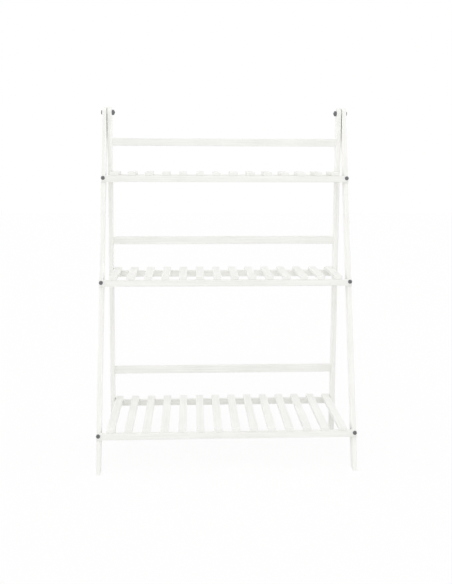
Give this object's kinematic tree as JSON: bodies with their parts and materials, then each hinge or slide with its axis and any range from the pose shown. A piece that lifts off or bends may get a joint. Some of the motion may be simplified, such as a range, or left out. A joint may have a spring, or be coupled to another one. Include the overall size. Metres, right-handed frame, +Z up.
{
  "type": "ladder shelf",
  "caption": "White painted wooden A-frame ladder shelf: slatted tiers that deepen towards the floor, a bar behind each tier, and a rear frame that swings on bolts at the top.",
  "frame": {"origin": "on the floor, in the middle of the footprint's box", "axes": "+X to the right as seen from the front, +Y to the back, +Z up"},
  "size_m": [0.709, 0.293, 0.982],
  "materials": {
    "white_paint": "satin white paint on wood",
    "black_steel": "black oxide",
    "zinc_steel": "zinc plated"
  },
  "bodies": {
    "front_frame": {"barrel_nuts": "zinc_steel", "bottom_slat_01": "white_paint", "bottom_slat_02": "white_paint", "bottom_slat_03": "white_paint", "bottom_slat_04": "white_paint", "bottom_slat_05": "white_paint", "bottom_slat_06": "white_paint", "bottom_slat_07": "white_paint", "bottom_slat_08": "white_paint", "bottom_slat_09": "white_paint", "bottom_slat_10": "white_paint", "bottom_slat_11": "white_paint", "bottom_slat_12": "white_paint", "bottom_slat_13": "white_paint", "bottom_slat_14": "white_paint", "front_leg_left": "white_paint", "front_leg_right": "white_paint", "front_rail_bottom": "white_paint", "front_rail_middle": "white_paint", "front_rail_top": "white_paint", "middle_slat_01": "white_paint", "middle_slat_02": "white_paint", "middle_slat_03": "white_paint", "middle_slat_04": "white_paint", "middle_slat_05": "white_paint", "middle_slat_06": "white_paint", "middle_slat_07": "white_paint", "middle_slat_08": "white_paint", "middle_slat_09": "white_paint", "middle_slat_10": "white_paint", "middle_slat_11": "white_paint", "middle_slat_12": "white_paint", "middle_slat_13": "white_paint", "middle_slat_14": "white_paint", "pivot_bolts": "black_steel", "pivot_nuts": "black_steel", "pivot_washers": "zinc_steel", "rail_bolts": "black_steel", "rear_rail_bottom": "white_paint", "rear_rail_middle": "white_paint", "rear_rail_top": "white_paint", "top_slat_01": "white_paint", "top_slat_02": "white_paint", "top_slat_03": "white_paint", "top_slat_04": "white_paint", "top_slat_05": "white_paint", "top_slat_06": "white_paint", "top_slat_07": "white_paint", "top_slat_08": "white_paint", "top_slat_09": "white_paint", "top_slat_10": "white_paint", "top_slat_11": "white_paint", "top_slat_12": "white_paint", "top_slat_13": "white_paint", "top_slat_14": "white_paint"},
    "rear_frame": {"back_bar_bottom": "white_paint", "back_bar_middle": "white_paint", "back_bar_top": "white_paint", "rear_leg_left": "white_paint", "rear_leg_right": "white_paint"}
  },
  "joints": [
    {"name": "rear_frame_swing", "type": "hinge", "parent": "front_frame", "child": "rear_frame", "pos_m": [0, 0.08406, 0.966], "axis": [-1, 0, 0], "range_deg": [0, 13]}
  ]
}
